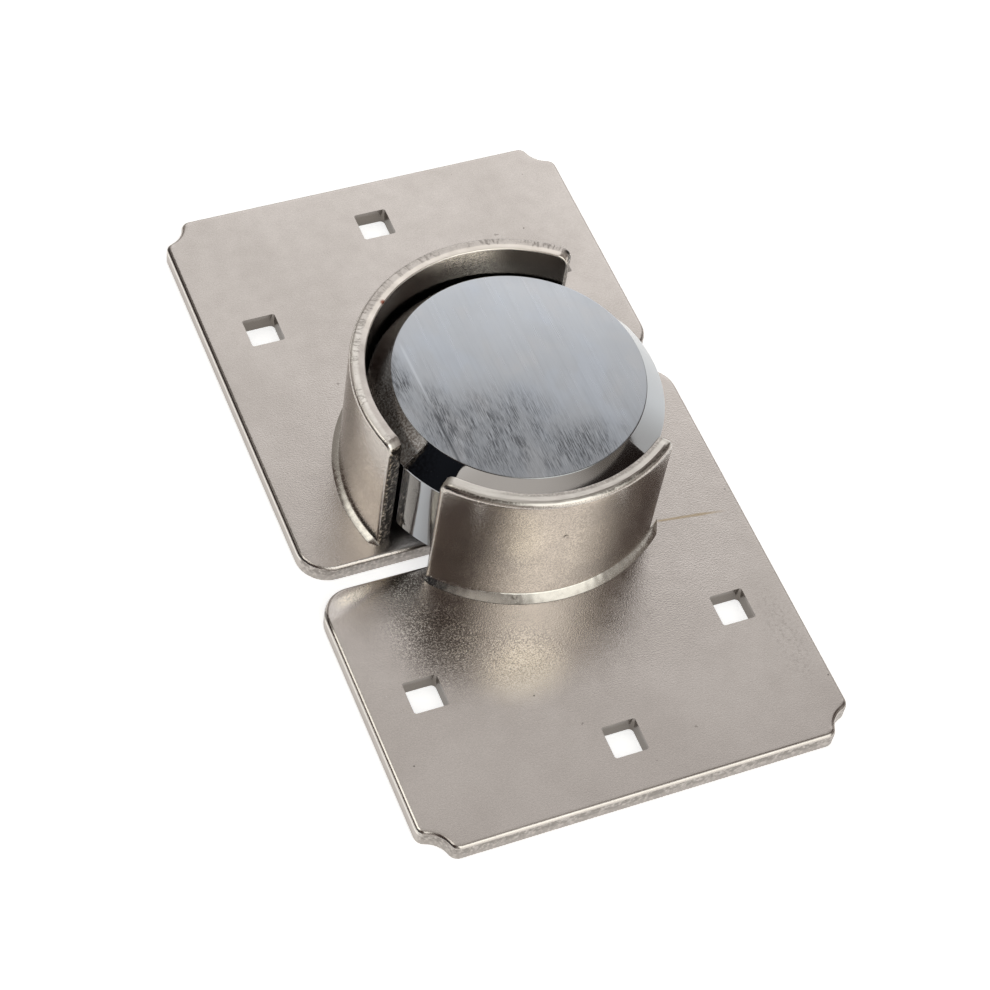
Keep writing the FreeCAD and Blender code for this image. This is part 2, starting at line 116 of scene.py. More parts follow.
# Fold of the lower seam corner: its direction, and where it starts along it in millimetres
CREASE = (-0.253, 0.967, -17.4)

# Places taken from the frame
PLATE_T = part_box("upper_plate")[1].z
HALF_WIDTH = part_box("upper_plate")[1].x
HALF_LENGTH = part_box("upper_plate")[1].y
GUARD_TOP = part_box("upper_guard")[1].z
LOCK_LOW, LOCK_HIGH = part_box("lock_body")
LOCK_X = (LOCK_LOW.x + LOCK_HIGH.x) / 2
LOCK_R = (LOCK_HIGH.x - LOCK_LOW.x) / 2
LOCK_TOP = LOCK_HIGH.z


def length(text, millimetres):
    """Size that a user can change, shown as a length."""
    return FloatProperty(description=text, default=millimetres * MM, min=0, precision=5, subtype="DISTANCE",
                         unit="LENGTH")


def angle(text, degrees):
    """Angle that a user can change."""
    return FloatProperty(description=text, default=math.radians(degrees), subtype="ANGLE", unit="ROTATION")


def colour(text, rgb):
    """Colour that a user can change."""
    return FloatVectorProperty(description=text, default=rgb, size=3, min=0, soft_max=1, subtype="COLOR")


def share(text, value):
    """Plain number from 0 upwards."""
    return FloatProperty(description=text, default=value, min=0)


def labelled(group):
    """Group with every property labelled after its key."""
    for key, made in group.__annotations__.items():
        made.keywords["name"] = key.replace("_", " ").capitalize()
    return group


@labelled
class HaspPlateSizes(PropertyGroup):
    """Sizes of the two plates."""
    tongue_edge: length("Middle of the hasp to the tongue's side", 2.8)
    seam_corner: length("Radius of the corners at the seam's ends", 8.0)
    tongue_corner: length("Radius of the tongue's corners", 3.0)
    bite: length("Radius of the bite out of each outer corner", 6.3)
    lip: length("Radius beside each bite", 2.5)
    edge_round: length("Round of the top edge", 1.1)
    roll_width: length("Band along the edge that the press bent down", 1.8)
    roll_drop: length("How far that band drops", 0.1)
    hole_side: length("Side of the square holes", 8.8)
    hole_corner: length("Corner radius of the square holes at the back", 1.3)
    punch_corner: length("Corner radius of the square holes at the front", 0.45)
    hole_ease: length("Small round on the holes' top edges", 0.2)
    end_margin: length("End hole to the plate's end", 15.0)
    side_margin: length("Side holes to the plate's side", 15.2)
    setback: length("Side holes behind the end hole", 25.9)
    lug_thickness: length("Slot for the lug's tenon, across the hasp", 4.8)
    tenon_width: length("Slot for the lug's tenon, along the hasp", 12.0)
    tenon_fit: length("Gap round the tenon", 0.1)


@labelled
class HaspGuardSizes(PropertyGroup):
    """Sizes of the two guard walls and their weld beads."""
    clearance: length("Lock to the guard's inner face", 0.8)
    thickness: length("Guard wall", 3.9)
    end_corner: length("Radius of the wall's top corners", 3.0)
    upper_round: length("Round along the upper rim's outer edge", 0.95)
    lower_round: length("Round along the lower rim's outer edge", 1.55)
    inner_round: length("Round along the rim's inner edge", 0.35)
    rim_wander: length("Unevenness of the sheared rim", 0.12)
    upper_start: angle("Where the upper guard starts", 49.0)
    upper_end: angle("Where the upper guard ends", 200.0)
    lower_start: angle("Where the lower guard starts", 220.0)
    lower_end: angle("Where the lower guard ends", 311.5)
    weld_leg: length("Width of the bead on the plate", 1.7)
    upper_rise: length("Height of the upper bead on its wall", 0.8)
    lower_rise: length("Height of the lower bead on its wall", 2.4)
    short_tail: angle("Run-out of the bead past an end", 1.0)
    upper_tail: angle("Run-out at the upper guard's start", 2.5)
    lower_tail: angle("Run-out at the lower guard's end", 6.0)
    upper_bulge: share("How full the upper guard's bead is", 0.04)
    lower_bulge: share("How full the lower guard's bead is", 0.02)
    lower_slim: share("How much thinner the lower bead starts", 0.28)
    slice_width: length("Step of the bend along the wall", 1.2)


@labelled
class HaspFinish(PropertyGroup):
    """Colours and gloss of the metals."""
    plate: colour("Warm nickel of the plates", (0.670, 0.622, 0.588))
    plate_shade: colour("Slightly darker clouds on the plates", (0.616, 0.570, 0.536))
    cut_edge: colour("Sheared sides of the plates", (0.345, 0.312, 0.288))
    # Walls of the square holes, darkened as painted shade inside the holes
    hole_wall: colour("Walls of the square holes", (0.250, 0.222, 0.198))
    guard: colour("Smooth nickel of the guards", (0.717, 0.661, 0.610))
    # Painted highlight: the inner faces are lightened past the guards' own colour
    inside: colour("Inner faces of the guards", (1.000, 0.930, 0.850))
    rim: colour("Sheared rims of the guards", (0.670, 0.620, 0.580))
    # Painted highlight: bright colour laid where glints, sparkle and highlight lines should shine
    glint: colour("Bright burnished spots and lines", (1.000, 0.960, 0.900))
    # Painted highlight and painted reflection: warm shine on the folded seam corner, and a warm glow on the
    # lower plate in front of the lower guard
    painted_warm_glint: colour("Warm shine on the folded seam corner", (1.000, 0.920, 0.800))
    # Painted reflection: dark line along the upper plate's rolled edge
    painted_dark_line: colour("Line along the upper plate's rolled edge", (0.190, 0.172, 0.160))
    guard_end: colour("Torn ends of the guards", (0.680, 0.610, 0.530))
    weld: colour("Plated weld beads", (0.700, 0.668, 0.620))
    lock_face: colour("Satin front of the lock", (0.610, 0.640, 0.685))
    lock_blue: colour("Bluish film on the lock's front", (0.545, 0.625, 0.760))
    # Dull colour of the worn places on the lock's front, also laid as painted shade towards its near left end
    lock_worn_and_shade: colour("Duller end of the lock's front", (0.300, 0.314, 0.338))
    lock_polish: colour("Polished chamfer and side of the lock", (0.520, 0.545, 0.575))
    bar: colour("Hardened bar and cam", (0.560, 0.555, 0.545))
    housing: colour("Cylinder housing", (0.600, 0.590, 0.570))
    brass: colour("Plug, pins and cover", (0.700, 0.520, 0.270))
    pin: colour("Hardened pins and springs", (0.460, 0.455, 0.450))
    stain: colour("Thin tarnish line", (0.440, 0.340, 0.200))
    lock_soil: colour("Soiled scratches of the lock", (0.085, 0.090, 0.100))
    soil: colour("Specks, cracks and soiled scratches", (0.120, 0.100, 0.085))
    # Dark colour of specks, cracks and soiled scratches, also laid as painted shade
    rust: colour("One small rusty speck on the rim", (0.360, 0.130, 0.085))
    plate_roughness: share("Roughness of the plates", 0.24)
    guard_roughness: share("Roughness of the guards", 0.20)


@labelled
class HaspStudio(PropertyGroup):
    """Camera and light of the studio."""
    target: FloatVectorProperty(description="Point that the camera looks at", size=3,
                                default=(-1.01 * MM, -5.87 * MM, 0.0), subtype="TRANSLATION", unit="LENGTH")
    distance: length("Camera to its target", 674.4)
    azimuth: angle("Camera to the left of the hasp's foot", -30.93)
    elevation: angle("Camera above the floor", 53.24)
    roll: angle("Camera turned about its own axis", 10.96)
    lens: FloatProperty(description="Focal length for a 36 mm sensor", default=97.97,
                        subtype="DISTANCE_CAMERA")
    room: colour("Light of the room outside the lamps' reach", (0.300, 0.280, 0.260))
    key: colour("Large soft panel behind the hasp", (1.13, 1.12, 1.11))
    left_panel: colour("Panel at the back left", (1.50, 1.48, 1.38))
    front_panel: colour("Panel at the front", (1.90, 1.93, 1.84))
    front_low: colour("Foot of the panel at the front", (1.34, 1.33, 1.25))
    near_low: colour("Low light on the near left", (0.480, 0.450, 0.415))
    dark_side: colour("Unlit side of the room", (0.065, 0.042, 0.036))
    flag: colour("Black flag that the lock's chamfer mirrors", (0.014, 0.015, 0.018))
    lamp: FloatProperty(description="Power of the soft lamp overhead", default=0.5, subtype="POWER",
                        unit="POWER")


class Recipe:
    """Node tree, built socket by socket."""

    def __init__(self, tree):
        self.tree = tree

    def put(self, socket, value):
        if isinstance(value, bpy.types.NodeSocket):
            self.tree.links.new(value, socket)
        elif hasattr(value, "__len__") and len(value) == 3 and len(socket.default_value) == 4:
            socket.default_value = (*value, 1.0)
        else:
            socket.default_value = value

    def add(self, kind, inputs=(), **settings):
        made = self.tree.nodes.new(kind)
        for key, value in settings.items():
            setattr(made, key, value)
        for key, value in dict(inputs).items():
            self.put(made.inputs[key], value)
        return made

    def join(self, operation, *values):
        """Numbers or sockets worked into one, from the first to the last."""
        result = values[0]
        for value in values[1:]:
            result = self.add("ShaderNodeMath", {0: result, 1: value}, operation=operation).outputs[0]
        return result

    times = partialmethod(join, "MULTIPLY")
    total = partialmethod(join, "ADD")
    most = partialmethod(join, "MAXIMUM")
    less = partialmethod(join, "SUBTRACT")

    def off(self, value, level):
        """How far a value lies from a level, to either side."""
        return self.add("ShaderNodeMath", {0: self.less(value, level)}, operation="ABSOLUTE").outputs[0]

    def vector(self, operation, a, b=(0, 0, 0)):
        made = self.add("ShaderNodeVectorMath", {0: a, 1: b}, operation=operation)
        return made.outputs["Value" if operation in ("DOT_PRODUCT", "LENGTH", "DISTANCE") else "Vector"]

    def axes(self, vector):
        """The three parts of a place, in millimetres."""
        scaled = self.vector("MULTIPLY", vector, (1 / MM, 1 / MM, 1 / MM))
        return self.add("ShaderNodeSeparateXYZ", {0: scaled}).outputs[:]

    def stretched(self, vector, scale, shift=(0, 0, 0)):
        return self.add("ShaderNodeMapping", {"Vector": vector, "Scale": scale, "Location": shift}).outputs[0]

    def noise(self, vector, scale, detail=2.0, roughness=0.5, distortion=0.0):
        return self.add("ShaderNodeTexNoise", {"Vector": vector, "Scale": scale, "Detail": detail,
                                               "Roughness": roughness, "Distortion": distortion}).outputs[0]

    def ramp(self, value, low, high, to_low=0.0, to_high=1.0, smooth=True):
        kind = "SMOOTHSTEP" if smooth else "LINEAR"
        return self.add("ShaderNodeMapRange", {0: value, 1: low, 2: high, 3: to_low, 4: to_high},
                        interpolation_type=kind, clamp=True).outputs[0]

    def mix(self, factor, a, b):
        made = self.add("ShaderNodeMix", data_type="RGBA")
        for socket, value in zip((made.inputs[0], made.inputs[6], made.inputs[7]), (factor, a, b)):
            self.put(socket, value)
        return made.outputs[2]

    def bump(self, height, millimetres, below=None):
        """Bumps of a depth, on top of others if given."""
        made = self.add("ShaderNodeBump", {"Height": height, "Distance": millimetres * MM, "Strength": 1.0})
        if below is not None:
            self.put(made.inputs["Normal"], below)
        return made.outputs[0]


class Metal(Recipe):
    """Metal finish on a piece's own place: x, y and z in millimetres, and a tone laid in coats."""

    def __init__(self, name, roughness=0.3):
        self.material = bpy.data.materials.new(name)
        self.material.use_nodes = True
        super().__init__(self.material.node_tree)
        self.surface = self.tree.nodes["Principled BSDF"].inputs
        self.put(self.surface["Metallic"], 1.0)
        self.put(self.surface["Roughness"], roughness)
        self.place = self.add("ShaderNodeTexCoord").outputs["Object"]
        self.x, self.y, self.z = self.axes(self.place)
        self.tone = None

    def grain(self, scale, detail=2.0, roughness=0.5):
        """Even noise over the piece."""
        return self.noise(self.place, scale, detail, roughness)

    def lines(self, scales, detail=2.0, roughness=0.5):
        """Noise over the piece, drawn out along its axes."""
        return self.noise(self.stretched(self.place, scales), 1.0, detail, roughness)

    def strip(self):
        """Place on the flat strip that a guard is bent from, with its run and its depth in millimetres."""
        strip = self.add("ShaderNodeAttribute", attribute_name="strip").outputs["Vector"]
        along, across, _ = self.axes(strip)
        return strip, along, across

    def blot(self, centre, reach):
        """Soft oval mask seen from above, in millimetres."""
        shift = (-centre[0] / reach[0], -centre[1] / reach[1], 0.0)
        inside = self.stretched(self.place, (1 / (reach[0] * MM), 1 / (reach[1] * MM), 0.0), shift)
        return self.ramp(self.vector("LENGTH", inside), 1.0, 0.25)

    def ball(self, centre, low, high, *levels):
        """Ramp over the distance from a point, in millimetres."""
        away = self.vector("DISTANCE", self.place, [part * MM for part in centre])
        return self.ramp(away, low * MM, high * MM, *levels)

    def coat(self, colour, *masks):
        """Lays a colour over the tone, as strongly as the masks and shares multiplied."""
        self.tone = self.mix(self.times(*masks), self.tone, colour)

    def done(self, normal, roughness=None):
        """The material with its tone, bumps and gloss."""
        self.put(self.surface["Base Color"], self.tone)
        self.put(self.surface["Normal"], normal)
        if roughness is not None:
            self.put(self.surface["Roughness"], roughness)
        return self.material


def scaled(rgb, factor):
    """Colour made darker or lighter."""
    return tuple(part * factor for part in rgb)


def tarnish_line(steel):
    """Mask of one thin line on the lower plate, falling a little to its right end."""
    start, end, level, fall, width = 32.3, 52, -28.4, 0.12, 0.85
    height = steel.total(steel.y, steel.times(steel.less(steel.x, start), fall))
    edge = steel.total(steel.off(height, level), steel.times(steel.grain(260, 3), width * 0.6))
    return steel.times(steel.ramp(edge, width, width * 0.4), steel.ramp(steel.x, start, start + width * 2),
                       steel.ramp(steel.x, end, end - width * 8))


def crease_height(steel):
    """Height across the fold of the lower seam corner."""
    return steel.total(steel.times(steel.x, CREASE[0]), steel.times(steel.y, CREASE[1]))


def sandy_grain(steel):
    """Bumps of plated rolled steel, coarser round the welds, with the fold of the lower seam corner."""
    waves = steel.bump(steel.grain(42, 1), 0.035)
    sunk = steel.times(steel.ramp(crease_height(steel), CREASE[2], CREASE[2] + 5.8),
                       steel.ramp(steel.x, -26, -38), steel.ramp(steel.y, -18.5, -22.5))
    bent = steel.bump(steel.less(1, sunk), 0.95, waves)
    heat = steel.ball((LOCK_X / MM, -6, PLATE_T / MM), 74, 46, 0.22, 1)
    return steel.bump(steel.times(steel.grain(2800, 1, 0.6), heat), 0.052, bent)


def painted_edge_lines(steel, finish):
    """Painted reflection lines along the left long edges: dark and ragged on the upper plate, bright on the
    lower one.
    """
    inward = steel.total(steel.x, HALF_WIDTH / MM)
    ragged = steel.total(inward, steel.times(steel.grain(1500, 3, 0.8), 0.9))
    line = steel.times(steel.ramp(inward, 0.10, 0.30), steel.ramp(ragged, 1.45, 1.30))
    corner = steel.times(steel.ramp(steel.y, -36, -33), steel.ramp(steel.y, -24, -26))
    dark = steel.most(steel.ramp(steel.y, -22, -20), corner)
    steel.coat(steel.mix(dark, finish.glint, finish.painted_dark_line), line, 0.9)


def plate_steel(finish):
    """Warm plated steel of the plates: faint clouds, sandy grain, a few specks and one tarnish line, and
    painted shade, sparkle, highlights and reflections laid in its colour.
    """
    steel = Metal("plate_steel")
    clouds = steel.ramp(steel.grain(45, 3, 0.55), 0.35, 0.70)
    steel.tone = steel.mix(clouds, finish.plate, finish.plate_shade)
    steel.coat(finish.soil, steel.ramp(steel.grain(2600, 3, 0.7), 0.38, 0.62, 0, 0.08))
    # Painted shade: dark patches on the lower plate beside the lower guard's left foot
    farther_painted_shade = steel.times(steel.blot((-31, -41), (11, 13)), 0.52)
    steel.coat(finish.soil, steel.most(steel.blot((-34.5, -26.5), (5.5, 4.5)), farther_painted_shade), 0.60)
    # Painted reflection: a warm glow of the lower guard laid on the lower plate in front of it
    steel.coat(finish.painted_warm_glint, steel.blot((-16, -59), (15, 11)), 0.62)
    # Painted sparkle: bright glints and dark grains laid as colour in three patches round the lower guard's
    # foot
    sparkle_patches = steel.most(steel.times(steel.blot((-16, -54), (17, 12)), 0.6),
                         steel.blot((-31, -43), (15, 19)), steel.blot((-34, -27.5), (9, 6.5)))
    sparkle = steel.grain(2500, 1, 0.6)
    steel.coat(finish.soil, sparkle_patches, steel.ramp(sparkle, 0.50, 0.38, 0, 0.60))
    steel.coat(finish.glint, sparkle_patches, steel.ramp(sparkle, 0.52, 0.64, 0, 0.85))
    # Painted highlight: warm shine along the fold of the lower seam corner
    fold = steel.ramp(steel.off(crease_height(steel), CREASE[2] + 3.6), 2.2, 0.5)
    steel.coat(finish.painted_warm_glint, fold, steel.ramp(steel.x, -36, -38.5), steel.ramp(steel.x, -53, -49),
               steel.ramp(sparkle, 0.35, 0.60, 0.6, 1))
    painted_edge_lines(steel, finish)
    steel.coat(finish.soil, steel.blot((49.5, -68), (6, 21)),
               steel.ramp(steel.grain(1100, 4, 0.7), 0.46, 0.66, 0, 0.22))
    steel.coat(finish.stain, tarnish_line(steel), 0.7)
    marks = [steel.ramp(steel.grain(330, 2, 0.4), 0.785, 0.81, 0, 0.4)]
    marks += [steel.blot(centre, (0.3, 0.3)) for centre in SPECKS]
    steel.coat(finish.soil, steel.most(*marks))
    rough = steel.ramp(steel.grain(240, 3), 0.25, 0.75,
                       finish.plate_roughness * 0.9, finish.plate_roughness * 1.15)
    return steel.done(sandy_grain(steel), rough)


def cut_edge(finish):
    """Sheared sides of the plates: fine upright drag marks below a burnished band; the long sides are painted
    lighter, and the band on them is a painted highlight.
    """
    edge = Metal("cut_edge", 0.36)
    drag = edge.lines((900, 900, 120), 3)
    pits = edge.grain(900, 3, 0.6)
    depth, side = PLATE_T / MM, HALF_WIDTH / MM
    broken = edge.ramp(edge.z, depth * 0.55, depth * 0.30)
    # Painted light: the long sides are lightened, with a painted highlight band near their top
    painted_lit_flank = edge.ramp(edge.off(edge.x, 0), side - 0.6, side - 0.2)
    edge.tone = edge.mix(edge.ramp(pits, 0.40, 0.70), finish.cut_edge, finish.plate)
    edge.coat(finish.rim, painted_lit_flank, 0.9)
    edge.coat(finish.plate_shade, broken, 0.45)
    edge.coat(finish.glint, painted_lit_flank, edge.ramp(edge.z, depth * 0.66, depth * 0.78))
    return edge.done(edge.bump(edge.total(drag, edge.times(pits, broken)), 0.035))


def guard_steel(finish):
    """Smoother plated steel of the bent guard walls, with one small dimple."""
    wall = Metal("guard_steel", finish.guard_roughness)
    wall.tone = wall.mix(wall.ramp(wall.grain(90, 3), 0.35, 0.70), finish.guard, finish.plate_shade)
    wall.coat(finish.soil, wall.ramp(wall.grain(3000, 1, 0.6), 0.58, 0.42, 0, 0.32))
    dimple = wall.bump(wall.ball((-0.8, -41, 29.5), 0.2, 0.9), 0.15)
    return wall.done(wall.bump(wall.grain(2400, 1, 0.6), 0.036, dimple))


def guard_inside(finish):
    """Inner faces of the guards, lightened as a painted highlight: the upper one roughened by the forming,
    with painted shade at its far end.
    """
    wall = Metal("guard_inside", 0.16)
    coarse = wall.grain(2000, 2, 0.6)
    upper = wall.ramp(wall.y, -5, 5)
    spots = wall.times(wall.ramp(coarse, 0.58, 0.40, 0, 0.40), upper)
    painted_dark_end = wall.times(wall.ramp(wall.x, 7, 17), upper, 0.55)
    wall.tone = wall.mix(wall.most(spots, painted_dark_end), finish.inside, finish.soil)
    return wall.done(wall.bump(wall.times(coarse, upper), 0.036))


def hole_wall(finish):
    """Punched walls of the square holes: dark as painted shade in the holes, below a burnished band at the
    top.
    """
    wall = Metal("hole_wall", 0.26)
    grit = wall.grain(1200, 3, 0.6)
    height = wall.total(wall.z, wall.times(grit, 1.2))
    burnished = wall.ramp(height, PLATE_T / MM * 0.75, PLATE_T / MM * 1.05)
    # Painted shade: the walls are dark below the burnished top band
    wall.tone = wall.mix(burnished, finish.hole_wall, finish.cut_edge)
    return wall.done(wall.bump(grit, 0.05))


def sheared_rim(finish):
    """Torn rim of the upper guard: ticks across its outer half, a painted highlight near the far end, a rusty
    speck and a chip at the far end.
    """
    rim = Metal("sheared_rim", 0.30)
    strip, along, across = rim.strip()
    ticks = rim.noise(rim.stretched(strip, (1250, 300, 300)), 1, 3, 0.6, 0.8)
    outer = rim.times(rim.ramp(across, 1.2, 2), rim.ramp(across, 3.9, 3.3, 0.4, 1))
    patchy = rim.ramp(rim.grain(130), 0.34, 0.50, 0.25, 1)
    cracks = rim.times(rim.ramp(ticks, 0.51, 0.64), patchy, outer)
    grit = rim.grain(2200, 3, 0.7)
    near_end = rim.ramp(along, 59, 74)
    rim.tone = rim.mix(rim.ramp(grit, 0.35, 0.75), finish.rim, finish.plate_shade)
    # The rim's inner half, away from the far end, takes the inner faces' colour, which is lightened as a
    # painted highlight
    rim.coat(finish.inside, rim.ramp(across, 1.9, 1.3, 0, 0.8), rim.less(1, near_end))
    rim.coat(finish.cut_edge, rim.ramp(along, 52, 36), rim.ramp(across, 2, 2.8),
             rim.ramp(grit, 0.40, 0.60, 0.15, 0.50))
    # Painted highlight on the rim's outer part near the far end
    rim.coat(finish.glint, near_end, rim.ramp(across, 1.4, 2.1, 0, 0.7))
    rim.coat(finish.soil, cracks, 0.38)
    rim.coat(finish.rust, rim.blot(RUST_SPECK, (1, 1)))
    rim.coat(scaled(finish.soil, 0.25), rim.blot(CHIP, (1.5, 1)))
    sunk = rim.bump(rim.less(rim.times(ticks, 0.5), cracks), 0.06)
    return rim.done(rim.bump(grit, 0.025, sunk))


def scraped_rim(finish):
    """Rim of the lower guard: bright along its middle, with dark lines scraped along its outer edge."""
    rim = Metal("scraped_rim", 0.28)
    strip, along, across = rim.strip()
    drawn = rim.noise(rim.stretched(strip, (160, 1700, 300)), 1, 3, 0.6)
    wobble = rim.noise(rim.stretched(strip, (260, 0, 0)), 1, 3)
    grit = rim.grain(1800, 3, 0.7)
    rim.tone = rim.mix(rim.ramp(drawn, 0.45, 0.65, 0, 0.5), finish.weld, finish.rim)
    rim.coat(finish.cut_edge, rim.ramp(across, 1.4, 0.9), rim.ramp(along, 9, 22),
             rim.ramp(grit, 0.35, 0.60, 0.35, 0.9))
    line = rim.ramp(rim.off(rim.total(across, rim.times(wobble, 0.9)), 3.55), 0.34, 0.08)
    rim.coat(finish.soil, line, rim.ramp(rim.off(along, 28), 6, 12), rim.ramp(grit, 0.36, 0.52), 0.8)
    return rim.done(rim.bump(grit, 0.030, rim.bump(drawn, 0.05)))


def torn_end(finish):
    """Torn end faces of the guards: coarse and glittering, darkened as painted shade."""
    end = Metal("torn_end", 0.20)
    coarse = end.grain(1100, 4, 0.7)
    # Painted shade: the grain's dark part darkens the ends
    end.tone = end.mix(end.ramp(coarse, 0.50, 0.61), scaled(finish.soil, 0.45), finish.guard_end)
    return end.done(end.bump(coarse, 0.24))


def weld_metal(finish):
    """Bright smooth bead with a few soiled places and one small crack."""
    bead = Metal("weld_metal", 0.24)
    marks = bead.grain(900, 3, 0.6)
    dirt = bead.ramp(bead.grain(260, 3, 0.6), 0.64, 0.78, 0, 0.3)
    crack = bead.times(bead.ball((-10.5, -39.8, 6.6), 1.3, 0.3), bead.ramp(marks, 0.42, 0.60))
    bead.tone = bead.mix(bead.most(dirt, crack), finish.weld, finish.soil)
    return bead.done(bead.bump(marks, 0.008), bead.ramp(marks, 0.3, 0.7, 0.16, 0.30))


def lock_steel(finish):
    """Lock body: satin front ground along the hasp and worn at its near left, with painted shade darkening
    the front towards its near left; polished chamfer and side, with painted shade at the chamfer's left and
    towards the near side.
    """
    lock = Metal("lock_steel")
    x, y, z = lock.x, lock.y, lock.z
    front = lock.ramp(z, LOCK_TOP / MM - 0.10, LOCK_TOP / MM - 0.02)
    hair = lock.lines((3600, 90, 1), 3, 0.65)
    grind = lock.lines((1300, 30, 1), 3, 0.6)
    short = lock.lines((4000, 240, 1), 3, 0.70)
    tints = lock.lines((75, 50, 1), 3, 0.6)
    lighter = scaled(finish.lock_face, 1.15)
    shade_axis = lock.total(lock.times(x, 0.33), y)
    rubbed = lock.ramp(shade_axis, 22, -14)
    # Painted shade: the front darkens evenly towards its near left
    lock.tone = lock.mix(lock.ramp(shade_axis, -36, 30, smooth=False), finish.lock_worn_and_shade, finish.lock_face)
    lock.coat(finish.lock_worn_and_shade, lock.ramp(lock.grain(70, 3, 0.55), 0.38, 0.66, 0, 0.10))
    lock.coat(finish.lock_blue, lock.ramp(tints, 0.50, 0.64, 0, 0.15))
    lock.coat(finish.rim, lock.ramp(tints, 0.48, 0.36, 0, 0.12))
    lock.coat(finish.lock_worn_and_shade, lock.ramp(grind, 0.45, 0.75), lock.ramp(rubbed, 0, 1, 0.05, 0.22))
    lock.coat(lighter, lock.ramp(hair, 0.55, 0.75), lock.ramp(rubbed, 0, 1, 0.06, 0.24))
    worn = lock.most(*[lock.blot(centre, reach) for centre, reach in WORN_PATCHES])
    patchy = lock.ramp(lock.lines((230, 110, 1), 3, 0.6), 0.34, 0.56, 0.25, 1)
    ragged = lock.times(lock.ramp(short, 0.42, 0.60), worn, patchy)
    lock.coat(finish.lock_worn_and_shade, worn, 0.44)
    lock.coat(finish.lock_soil, ragged, 0.90)
    lock.coat(lighter, lock.ramp(short, 0.40, 0.30), worn, 0.30)
    scratch = lock.ramp(lock.off(lock.total(x, lock.times(y, 0.0184)), -21.16), 0.50, 0.10)
    scratch = lock.times(scratch, lock.ramp(y, 19, 15), lock.ramp(y, -24, -20))
    near_half = lock.ramp(y, 1, -7)
    lock.coat(finish.lock_soil, scratch, near_half, 0.70)
    lock.coat(lighter, scratch, lock.less(1, near_half), 0.45)
    # Painted shade on the polished chamfer and side: a grainy dark patch at the left, and darkening towards
    # the near side
    sand = lock.ramp(lock.grain(1900, 2, 0.6), 0.40, 0.60, 0.30, 0.90)
    left_chamfer_shade = lock.times(lock.ramp(x, -20, -30), lock.ramp(y, -26, -14), lock.ramp(z, 32.4, 33.4), sand)
    near_side_shade = lock.ramp(y, -14, -26, 0, 0.48)
    polished = lock.mix(lock.most(left_chamfer_shade, near_side_shade), finish.lock_polish, finish.soil)
    lock.tone = lock.mix(front, polished, lock.tone)
    satin = lock.ramp(grind, 0.30, 0.70, 0.27, 0.31)
    side = lock.ramp(lock.grain(300), 0.30, 0.70, 0.05, 0.09)
    ground = lock.times(lock.total(hair, lock.times(ragged, 1.5)), front)
    turning = lock.times(lock.lines((60, 60, 1600)), 0.12)
    return lock.done(lock.bump(lock.total(ground, turning), 0.005),
                     lock.ramp(front, 0, 1, side, satin, smooth=False))


def turned_steel(name, rgb, roughness, across):
    """Turned inner piece: fine rings across its axis."""
    steel = Metal(name, roughness)
    stains = steel.ramp(steel.grain(180, 3), 0.45, 0.75, 0, 0.4)
    steel.tone = steel.mix(stains, rgb, scaled(rgb, 0.72))
    rough = steel.ramp(steel.grain(500), 0.3, 0.7, roughness * 0.8, roughness * 1.25)
    return steel.done(steel.bump(steel.lines(across), 0.012), rough)


def picked(geometry, kind):
    """Items of one kind out of what an operation made."""
    return [item for item in geometry if isinstance(item, kind)]


def as_mesh(name, bm):
    """Mesh made from a bmesh, which is let go."""
    mesh = bpy.data.meshes.new(name)
    bm.to_mesh(mesh)
    bm.free()
    return mesh


def put_in_scene(name, data):
    """New object in the scene."""
    made = bpy.data.objects.new(name, data)
    bpy.context.scene.collection.objects.link(made)
    return made


def ease(bm, corners, radius, segments, affect="EDGES"):
    """Rounds edges or corners."""
    return bmesh.ops.bevel(bm, geom=corners, offset=radius, segments=segments, profile=0.5, affect=affect,
                           material=-1)


def slice_at(bm, place, normal):
    """Cuts every face that a plane crosses."""
    bmesh.ops.bisect_plane(bm, geom=bm.verts[:] + bm.edges[:] + bm.faces[:], dist=0.001 * MM,
                           plane_co=place, plane_no=normal)


class Pen:
    """Draws one closed outline of edges from lines and arcs."""

    def __init__(self, bm, start):
        self.bm = bm
        self.first = bm.verts.new((*start, 0))
        self.last = self.first

    def line(self, x, y):
        vert = self.bm.verts.new((x, y, 0))
        self.bm.edges.new((self.last, vert))
        self.last = vert

    def arc(self, x, y, turn, steps):
        made = bmesh.ops.spin(self.bm, geom=[self.last], cent=(x, y, 0), axis=(0, 0, 1), angle=turn,
                              steps=steps, use_duplicate=False)
        self.last = picked(made["geom_last"], bmesh.types.BMVert)[0]

    def close(self):
        bmesh.ops.contextual_create(self.bm, geom=[self.last, self.first])
        bmesh.ops.remove_doubles(self.bm, verts=self.bm.verts, dist=0.001 * MM)
        bmesh.ops.contextual_create(self.bm, geom=self.bm.edges[:])


def new_piece(name, bm, sharp=SHARP):
    """Object from a finished bmesh, with smooth faces and sharp creases."""
    mesh = as_mesh(name, bm)
    mesh.shade_smooth()
    mesh.set_sharp_from_angle(angle=math.radians(sharp))
    piece = put_in_scene(name, mesh)
    weights = piece.modifiers.new("Weighted normals", "WEIGHTED_NORMAL")
    weights.keep_sharp = True
    return piece


def settle(piece, body, slot, *nodes):
    """The piece rides on its body and stands for its CAD nodes."""
    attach(piece, body)
    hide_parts(*nodes)


def dress(node_name, material):
    """Better finish on a CAD node that is shown as it is."""
    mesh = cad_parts[node_name].data
    if not mesh.materials:
        mesh.materials.append(material)
    for index in range(len(mesh.materials)):
        mesh.materials[index] = material


